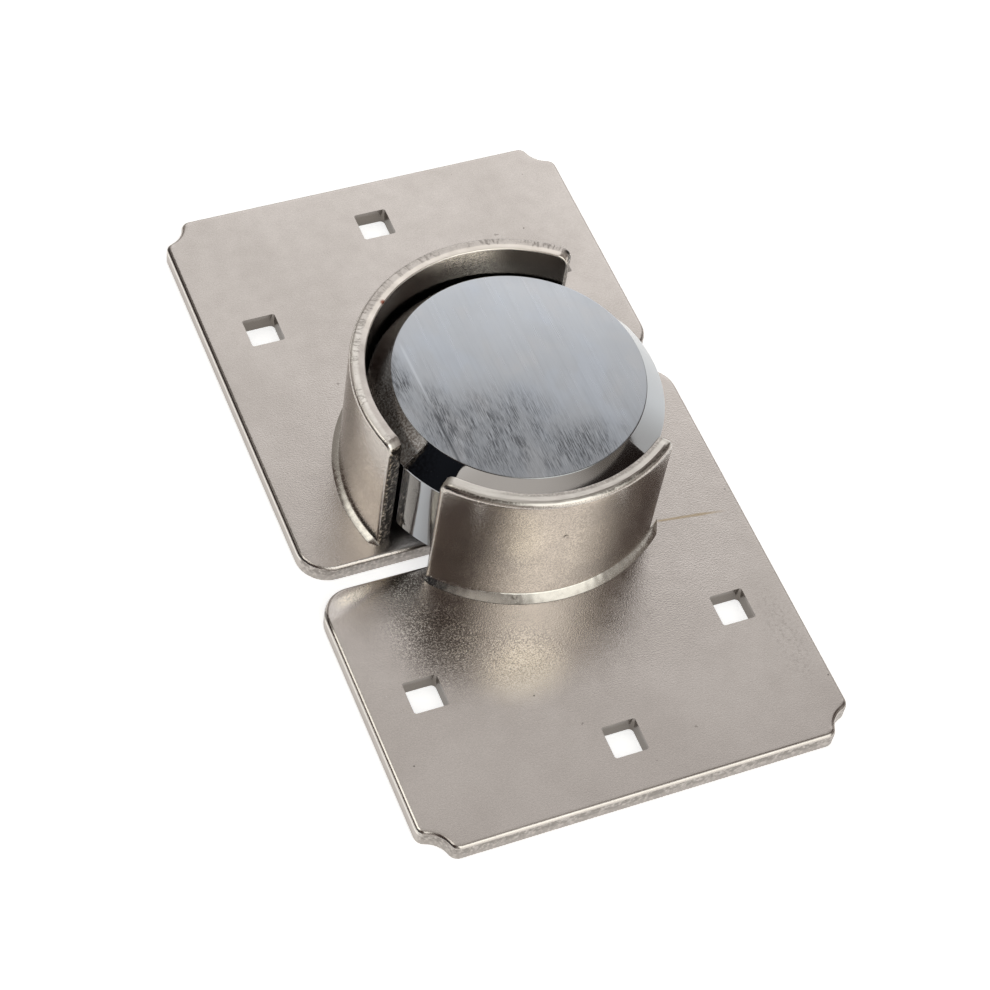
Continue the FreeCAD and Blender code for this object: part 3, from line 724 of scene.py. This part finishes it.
def cut_away(piece, bm):
    """Takes a closed bmesh out of a piece."""
    cutter = put_in_scene("cutter", as_mesh("cutter", bm))
    cut = piece.modifiers.new("Cut", "BOOLEAN")
    cut.object = cutter
    cut.solver = "EXACT"
    bpy.context.view_layer.update()
    done = bpy.data.meshes.new_from_object(piece.evaluated_get(bpy.context.evaluated_depsgraph_get()))
    piece.modifiers.remove(cut)
    bpy.data.objects.remove(cutter)
    piece.data = done


def plate_outline(sizes):
    """Outline of the upper plate as a face: stepped seam and bitten outer corners."""
    bm = bmesh.new()
    tongue, seam_r, tongue_r = sizes.tongue_edge, sizes.seam_corner, sizes.tongue_corner
    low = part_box("upper_plate")[0].y
    high = -low + 2 * tongue
    pen = Pen(bm, (-HALF_WIDTH + seam_r, low))
    pen.line(-tongue - tongue_r, low)
    pen.arc(-tongue - tongue_r, low + tongue_r, QUARTER, 6)
    pen.line(-tongue, high - tongue_r)
    pen.arc(-tongue + tongue_r, high - tongue_r, -QUARTER, 6)
    pen.line(HALF_WIDTH - seam_r, high)
    pen.arc(HALF_WIDTH - seam_r, high + seam_r, QUARTER, 12)
    reach = math.sqrt((sizes.bite + sizes.lip) ** 2 - sizes.lip ** 2)
    lip_turn = math.atan2(reach, sizes.lip)
    bite_turn = 2 * lip_turn - QUARTER
    pen.line(HALF_WIDTH, HALF_LENGTH - reach)
    for side in (1, -1):
        lips = [(HALF_WIDTH - sizes.lip, HALF_LENGTH - reach), (HALF_WIDTH - reach, HALF_LENGTH - sizes.lip)]
        for index, (x, y) in enumerate(lips[::side]):
            pen.arc(side * x, y, lip_turn, 7)
            if index == 0:
                pen.arc(side * HALF_WIDTH, HALF_LENGTH, -bite_turn, 9)
        if side == 1:
            pen.line(-HALF_WIDTH + reach, HALF_LENGTH)
    pen.line(-HALF_WIDTH, low + seam_r)
    pen.arc(-HALF_WIDTH + seam_r, low + seam_r, QUARTER, 12)
    pen.close()
    return bm


def raise_slab(bm, z0, z1):
    """Flat face made a slab between two heights."""
    bmesh.ops.translate(bm, verts=bm.verts, vec=(0, 0, z0))
    made = bmesh.ops.extrude_face_region(bm, geom=bm.faces[:])
    bmesh.ops.translate(bm, verts=picked(made["geom"], bmesh.types.BMVert), vec=(0, 0, z1 - z0))
    bmesh.ops.recalc_face_normals(bm, faces=bm.faces)


def faces_up(face):
    """Whether a face lies flat with its front up."""
    return face.normal.z > FACING


def stands(face):
    """Whether a face stands upright."""
    return abs(face.normal.z) < SIDEWAYS


def edges_between(bm, one, other):
    """Edges that part one kind of face from the other."""
    return [edge for edge in bm.edges if len(edge.link_faces) == 2
            and any(map(one, edge.link_faces)) and any(map(other, edge.link_faces))]


def square_ring(bm, half, corner, z):
    """Rounded square of edges at one height."""
    made = bmesh.ops.create_grid(bm, x_segments=1, y_segments=1, size=half)
    rounded = ease(bm, made["verts"], corner, 5, "VERTICES")
    bmesh.ops.translate(bm, verts=rounded["verts"], vec=(0, 0, z))


def square_cutter(sizes, x, y):
    """Square prism through the plate, sharp-cornered in front and rounder at the back."""
    half = sizes.hole_side / 2
    bm = bmesh.new()
    square_ring(bm, half, sizes.punch_corner, PLATE_T + CUT_PAST)
    square_ring(bm, half, sizes.hole_corner, -CUT_PAST)
    bmesh.ops.bridge_loops(bm, edges=bm.edges[:])
    bmesh.ops.recalc_face_normals(bm, faces=bm.faces)
    bmesh.ops.translate(bm, verts=bm.verts, vec=(x, y, 0))
    return bm


def plate_piece(name, sizes, turn, finishes):
    """One plate: slab with a rolled top edge, three square holes and the slot of its lug."""
    bm = plate_outline(sizes)
    raise_slab(bm, 0, PLATE_T)
    top = [face for face in bm.faces if faces_up(face)]
    outer = top[0].verts[:]
    bmesh.ops.inset_region(bm, faces=top, thickness=sizes.roll_width, use_even_offset=True)
    bmesh.ops.translate(bm, verts=outer, vec=(0, 0, -sizes.roll_drop))
    ease(bm, edges_between(bm, faces_up, stands), sizes.edge_round, 4)
    piece = new_piece(name, bm)
    end_y = HALF_LENGTH - sizes.end_margin
    reach = HALF_WIDTH - sizes.side_margin
    holes = ((0, end_y), (-reach, end_y - sizes.setback), (reach, end_y - sizes.setback))
    for x, y in holes:
        cut_away(piece, square_cutter(sizes, x, y))
    slot = bmesh.new()
    bmesh.ops.create_cube(slot, size=1)
    depth = sizes.lug_thickness + sizes.tenon_fit + CUT_PAST
    width = sizes.tenon_width + 2 * sizes.tenon_fit
    bmesh.ops.scale(slot, verts=slot.verts, vec=(depth, width, PLATE_T + 2 * CUT_PAST))
    centre_x = -sizes.tongue_edge - sizes.lug_thickness - sizes.tenon_fit + depth / 2
    bmesh.ops.translate(slot, verts=slot.verts, vec=(centre_x, 0, PLATE_T / 2))
    cut_away(piece, slot)
    bm = bmesh.new()
    bm.from_mesh(piece.data)
    bmesh.ops.remove_doubles(bm, verts=bm.verts, dist=0.002 * MM)
    hole_edges = [edge for edge in edges_between(bm, faces_up, stands)
                  if all(vert.co.z > PLATE_T - 0.01 * MM for vert in edge.verts)]
    ease(bm, hole_edges, sizes.hole_ease, 2)
    for face in bm.faces:
        face.smooth = True
        face.material_index = TOP
        if abs(face.normal.z) < STEEP:
            centre = face.calc_center_median()
            in_hole = any(abs(centre.x - x) + abs(centre.y - y) < sizes.hole_side * 1.5 for x, y in holes)
            face.material_index = HOLE if in_hole else EDGE
    bmesh.ops.rotate(bm, verts=bm.verts, cent=(0, 0, 0), matrix=Matrix.Rotation(turn, 3, "Z"))
    piece.data.materials.clear()
    for material in finishes:
        piece.data.materials.append(material)
    bm.to_mesh(piece.data)
    bm.free()
    piece.data.set_sharp_from_angle(angle=math.radians(SHARP))
    return piece


def around_lock(radius, turn, height):
    """Place at a radius and an angle about the lock's axis."""
    return Vector((LOCK_X + radius * math.cos(turn), radius * math.sin(turn), height))


def guard_piece(name, sizes, start, end, outer_round):
    """One guard: a flat strip with rounded top corners, eased all round its rim and bent about the lock."""
    inner = LOCK_R + sizes.clearance
    middle = inner + sizes.thickness / 2
    run = (end - start) * middle
    bm = bmesh.new()
    outline = ((0, PLATE_T), (run, PLATE_T), (run, GUARD_TOP), (0, GUARD_TOP))
    corners = [bm.verts.new((along, 0, height)) for along, height in outline]
    bm.faces.new(corners)
    ease(bm, corners[2:], sizes.end_corner, 8, "VERTICES")
    made = bmesh.ops.extrude_face_region(bm, geom=bm.faces[:])
    bmesh.ops.translate(bm, verts=picked(made["geom"], bmesh.types.BMVert), vec=(0, sizes.thickness, 0))
    bmesh.ops.recalc_face_normals(bm, faces=bm.faces)
    for side, roundness in ((1, outer_round), (-1, sizes.inner_round)):
        rim = edges_between(bm, lambda face: face.normal.y * side > FACING,
                            lambda face: abs(face.normal.y) < SIDEWAYS and face.normal.z > FOOT)
        ease(bm, rim, roundness, 4)
    for below_rim in RIM_ROWS:
        slice_at(bm, (0, 0, GUARD_TOP - below_rim), (0, 0, 1))
    for part in RIM_PARTS:
        slice_at(bm, (0, sizes.thickness * part, 0), (0, 1, 0))
    slices = round(run / sizes.slice_width)
    for index in range(1, slices):
        slice_at(bm, (run * index / slices, 0, 0), (1, 0, 0))
    for face in bm.faces:
        face.smooth = True
        face.material_index = WALL
        if face.normal.y < -FACING:
            face.material_index = INSIDE
        elif face.normal.y < END_FACING and face.normal.z > FOOT:
            face.material_index = END if abs(face.normal.x) > END_FACING else RIM
    strip = bm.verts.layers.float_vector.new("strip")
    for vert in bm.verts:
        along, across, height = vert.co
        vert[strip] = vert.co
        rise = min(max((height - GUARD_TOP + RIM_DEPTH) / RIM_DEPTH, 0.0), 1.0)
        side = across / sizes.thickness - 0.5
        wave = noise.noise(Vector((along * SHORT_WAVES, side * 1.6, 3))) - RIM_CREST
        sag = noise.noise(Vector((along * LONG_WAVES, 7, 0))) - RIM_CREST
        drop = rise * sizes.rim_wander * (wave + sag - abs(side) * RIM_CROWN)
        turn = start + along / middle
        bulge = noise.noise(Vector((along * WALL_WAVES, height * WALL_WAVES, side * 2))) * WALL_DENT
        vert.co = around_lock(inner + across + min(bulge, 0.0), turn, height + min(drop, 0.0))
    bmesh.ops.recalc_face_normals(bm, faces=bm.faces)
    return new_piece(name, bm, 40)


def guard_weld_piece(name, sizes, start, end, first_tail, last_tail, rise, bulge, slim):
    """Smooth bead along a guard's outer foot, run out to a point past each end of the wall."""
    outer = LOCK_R + sizes.clearance + sizes.thickness
    leg = sizes.weld_leg
    bm = bmesh.new()
    section = [(-BEAD_ROOT, 0.0)]
    for index in range(BEAD_POINTS):
        down = index / (BEAD_POINTS - 1)
        swollen = bulge * math.sin(down * HALF_TURN)
        section.append((1 - down + swollen, down + swollen))
    section.append((-BEAD_ROOT, 1.0))
    first = start - first_tail
    sweep = end + last_tail - first
    verts = [bm.verts.new(around_lock(outer + out * leg, first, PLATE_T + up * rise)) for out, up in section]
    face = bm.faces.new(verts)
    steps = round(sweep * outer / BEAD_STEP)
    ripple, wave, grain = BEAD_SWELLS
    bmesh.ops.spin(bm, geom=[face, *face.edges], cent=(LOCK_X, 0, 0), axis=(0, 0, 1), angle=sweep,
                   steps=steps, use_duplicate=False)
    for vert in bm.verts:
        turn = math.atan2(vert.co.y, vert.co.x - LOCK_X) % (2 * HALF_TURN)
        done = (turn - first) / sweep
        along = turn * outer
        tails = (done * sweep / max(first_tail, LEAST_TAIL), (1 - done) * sweep / max(last_tail, LEAST_TAIL))
        swell = BEAD_FULL + ripple * math.sin(along / BEAD_RIPPLE)
        swell += wave * noise.noise(Vector((along * BEAD_WAVES, 2, 0)))
        swell += grain * noise.noise(vert.co * BEAD_GRAIN) - slim * max(1 - done * SLIM_RUN, 0)
        size = max(min(*tails, 1), BEAD_TIP) * min(swell, 1)
        foot = around_lock(outer, turn, PLATE_T)
        vert.co = foot + (vert.co - foot) * size
    bmesh.ops.remove_doubles(bm, verts=bm.verts, dist=0.0005 * MM)
    bmesh.ops.recalc_face_normals(bm, faces=bm.faces)
    return new_piece(name, bm, 60)


class HASP_OT_plates(Operator):
    """Build both plates and dress their lugs"""
    bl_idname = "hasp.plates"
    bl_label = "Plates and lugs"

    def execute(self, context):
        sizes, finish = context.scene.hasp_plate, context.scene.hasp_finish
        finishes = (plate_steel(finish), cut_edge(finish), hole_wall(finish))
        for half, turn in (("upper", 0.0), ("lower", HALF_TURN)):
            piece = plate_piece(half + "_plate_sheet", sizes, turn, finishes)
            settle(piece, "hasp_and_lock", "plate_steel", half + "_plate")
            dress(half + "_lug", finishes[1])
        return {"FINISHED"}


class HASP_OT_guards(Operator):
    """Build both guard walls"""
    bl_idname = "hasp.guards"
    bl_label = "Guards"

    def execute(self, context):
        sizes, finish = context.scene.hasp_guard, context.scene.hasp_finish
        wall, end_face, inside = guard_steel(finish), torn_end(finish), guard_inside(finish)
        runs = (("upper", sizes.upper_start, sizes.upper_end, sizes.upper_round, sheared_rim(finish)),
                ("lower", sizes.lower_start, sizes.lower_end, sizes.lower_round, scraped_rim(finish)))
        for half, start, end, outer_round, rim in runs:
            piece = guard_piece(half + "_guard_wall", sizes, start, end, outer_round)
            for material in (wall, rim, end_face, inside):
                piece.data.materials.append(material)
            settle(piece, "hasp_and_lock", "guard_steel", half + "_guard")
        return {"FINISHED"}


class HASP_OT_welds(Operator):
    """Build the weld beads of the guards and dress those of the lugs"""
    bl_idname = "hasp.welds"
    bl_label = "Welds"

    def execute(self, context):
        sizes, finish = context.scene.hasp_guard, context.scene.hasp_finish
        bead = weld_metal(finish)
        runs = (("upper", sizes.upper_start, sizes.upper_end, sizes.upper_tail, sizes.short_tail,
                 sizes.upper_rise, sizes.upper_bulge, 0.0),
                ("lower", sizes.lower_start, sizes.lower_end, sizes.short_tail, sizes.lower_tail,
                 sizes.lower_rise, sizes.lower_bulge, sizes.lower_slim))
        for half, *run in runs:
            piece = guard_weld_piece(half + "_guard_bead", sizes, *run)
            piece.data.materials.append(bead)
            settle(piece, "hasp_and_lock", "weld_metal", half + "_guard_weld")
            dress(half + "_lug_weld", bead)
        return {"FINISHED"}


class HASP_OT_lock(Operator):
    """Dress the lock body and its stop pin"""
    bl_idname = "hasp.lock"
    bl_label = "Lock body"

    def execute(self, context):
        finish = context.scene.hasp_finish
        dress("lock_body", lock_steel(finish))
        dress("stop_pin", turned_steel("stop_pin_steel", finish.pin, 0.3, (200.0, 200.0, 2500.0)))
        return {"FINISHED"}


class HASP_OT_mechanism(Operator):
    """Dress the bar, the housing, the key plug and the small pieces in them"""
    bl_idname = "hasp.mechanism"
    bl_label = "Bar, housing and plug"

    def execute(self, context):
        finish = context.scene.hasp_finish
        along_x, along_z = (2600.0, 160.0, 160.0), (160.0, 160.0, 2600.0)
        bar = turned_steel("bar_steel", finish.bar, 0.20, along_x)
        housing = turned_steel("housing_steel", finish.housing, 0.24, along_x)
        pins = turned_steel("pin_steel", finish.pin, 0.25, along_z)
        brass = turned_steel("brass", finish.brass, 0.26, along_x)
        pin_brass = turned_steel("pin_brass", finish.brass, 0.22, along_z)
        for material, names in ((bar, ("shackle_bar", "plug_cam")), (housing, ("cylinder_housing",)),
                                (pins, ("bar_cross_pin", "drill_pins", "pin_springs", "cam_screw")),
                                (brass, ("cylinder_plug", "spring_cover")),
                                (pin_brass, ("key_pins", "driver_pins"))):
            for name in names:
                dress(name, material)
        return {"FINISHED"}


def direction(azimuth, elevation):
    """Unit vector from angles in degrees, azimuth from +X towards +Y."""
    a, e = math.radians(azimuth), math.radians(elevation)
    return (math.cos(a) * math.cos(e), math.sin(a) * math.cos(e), math.sin(e))


def room_light(studio):
    """World of the studio: a dim room with soft panels, a dark side and a black flag, white to the camera."""
    world = bpy.data.worlds.new("studio")
    bpy.context.scene.world = world
    world.use_nodes = True
    recipe = Recipe(world.node_tree)
    world.node_tree.nodes.clear()
    looking = recipe.vector("NORMALIZE", recipe.add("ShaderNodeTexCoord").outputs["Generated"])
    light = tuple(studio.room)
    # Each patch: azimuth and elevation, how far it reaches and how far it is full, in degrees, and its light
    patches = (
        ((57, 31), 36, 10, studio.key),
        ((176, 30), 52, 42, studio.dark_side),
        ((190, 18), 33, 29, studio.flag),
        ((6, 50), 22, 12, studio.dark_side),
        ((-9, 6), 18, 8, studio.dark_side),
        ((210, 50), 30, 14, studio.dark_side),
        ((243, 6), 17, 8, studio.near_low),
        ((146, 58), 22, 8, studio.left_panel),
        ((286, 53), 26, 9, studio.front_panel),
        ((289, 34), 23, 9, studio.front_panel),
        ((287, 17), 25, 13, studio.front_low),
    )
    for (azimuth, elevation), outer, inner, rgb in patches:
        aim = recipe.vector("DOT_PRODUCT", looking, direction(azimuth, elevation))
        mask = recipe.ramp(aim, math.cos(math.radians(outer)), math.cos(math.radians(inner)))
        light = recipe.mix(mask, light, tuple(rgb))
    path = recipe.add("ShaderNodeLightPath")
    shown = recipe.add("ShaderNodeBackground", {"Color": recipe.mix(path.outputs["Is Camera Ray"], light,
                                                                    (1.0, 1.0, 1.0)), "Strength": 1.0})
    recipe.add("ShaderNodeOutputWorld", {"Surface": shown.outputs[0]})


def floor_material():
    """White floor: plain matt, lifted to white for the camera and for mirrors, with the shadow kept."""
    material = bpy.data.materials.new("studio_floor")
    material.use_nodes = True
    recipe = Recipe(material.node_tree)
    material.node_tree.nodes.clear()
    path = recipe.add("ShaderNodeLightPath")
    seen = recipe.most(path.outputs["Is Camera Ray"], path.outputs["Is Transmission Ray"])
    mirrored = recipe.times(path.outputs["Is Glossy Ray"], FLOOR_MIRRORED)
    lift = recipe.most(recipe.times(seen, FLOOR_SEEN), mirrored)
    matt = recipe.add("ShaderNodeBsdfDiffuse", {"Color": [FLOOR_TONE] * 3})
    glow = recipe.add("ShaderNodeEmission", {"Color": (1.0, 1.0, 1.0), "Strength": lift})
    both = recipe.add("ShaderNodeAddShader", {0: matt.outputs[0], 1: glow.outputs[0]})
    recipe.add("ShaderNodeOutputMaterial", {"Surface": both.outputs[0]})
    return material


class HASP_OT_stage(Operator):
    """Build the floor, the soft light and the camera"""
    bl_idname = "hasp.stage"
    bl_label = "Studio"

    def execute(self, context):
        studio = context.scene.hasp_studio
        bm = bmesh.new()
        bmesh.ops.create_grid(bm, x_segments=1, y_segments=1, size=FLOOR_HALF)
        bmesh.ops.translate(bm, verts=bm.verts, vec=(0, 0, -FLOOR_DROP))
        floor = put_in_scene("floor", as_mesh("floor", bm))
        floor.data.materials.append(floor_material())
        room_light(studio)
        softbox = bpy.data.lights.new("softbox", "AREA")
        softbox.shape = "DISK"
        softbox.size = SOFTBOX_WIDTH
        softbox.energy = studio.lamp
        place = Vector(direction(*SOFTBOX_FROM)) * SOFTBOX_AWAY
        hung = put_in_scene("softbox", softbox)
        hung.location = place
        hung.rotation_euler = (-place).to_track_quat("-Z", "Y").to_euler()
        camera = bpy.data.cameras.new("camera")
        camera.sensor_width = SENSOR_WIDTH
        camera.lens = studio.lens
        camera.clip_start = 0.01
        a, e = studio.azimuth, studio.elevation
        back = Vector((math.sin(a) * math.cos(e), -math.cos(a) * math.cos(e), math.sin(e)))
        target = Vector(studio.target)
        aim = (-back).to_track_quat("-Z", "Y").to_matrix().to_4x4()
        held = put_in_scene("camera", camera)
        held.matrix_world = (Matrix.Translation(target + back * studio.distance) @ aim
                             @ Matrix.Rotation(studio.roll, 4, "Z"))
        context.scene.camera = held
        context.scene.view_settings.view_transform = "Standard"
        return {"FINISHED"}


class HASP_PT_panel(Panel):
    """Buttons for every piece of the hasp"""
    bl_label = "Hasp and lock"
    bl_space_type = "VIEW_3D"
    bl_region_type = "UI"
    bl_category = "Hasp"

    def draw(self, context):
        for operator in OPERATORS:
            self.layout.operator(operator.bl_idname)
        for group in GROUPS:
            holder = getattr(context.scene, group)
            box = self.layout.box()
            for key in holder.bl_rna.properties.keys():
                if key not in ("rna_type", "name"):
                    box.prop(holder, key)


OPERATORS = (HASP_OT_plates, HASP_OT_guards, HASP_OT_welds, HASP_OT_lock, HASP_OT_mechanism, HASP_OT_stage)
GROUPS = {"hasp_plate": HaspPlateSizes, "hasp_guard": HaspGuardSizes, "hasp_finish": HaspFinish,
          "hasp_studio": HaspStudio}
CLASSES = (*GROUPS.values(), *OPERATORS, HASP_PT_panel)


def register():
    for item in CLASSES:
        bpy.utils.register_class(item)
    for name, group in GROUPS.items():
        setattr(bpy.types.Scene, name, PointerProperty(type=group))


def unregister():
    for name in GROUPS:
        delattr(bpy.types.Scene, name)
    for item in reversed(CLASSES):
        bpy.utils.unregister_class(item)


def main():
    """Registers the add-on and builds every piece in order."""
    register()
    bpy.ops.hasp.plates()
    bpy.ops.hasp.guards()
    bpy.ops.hasp.welds()
    bpy.ops.hasp.lock()
    bpy.ops.hasp.mechanism()
    bpy.ops.hasp.stage()


if __name__ == "__main__":
    main()
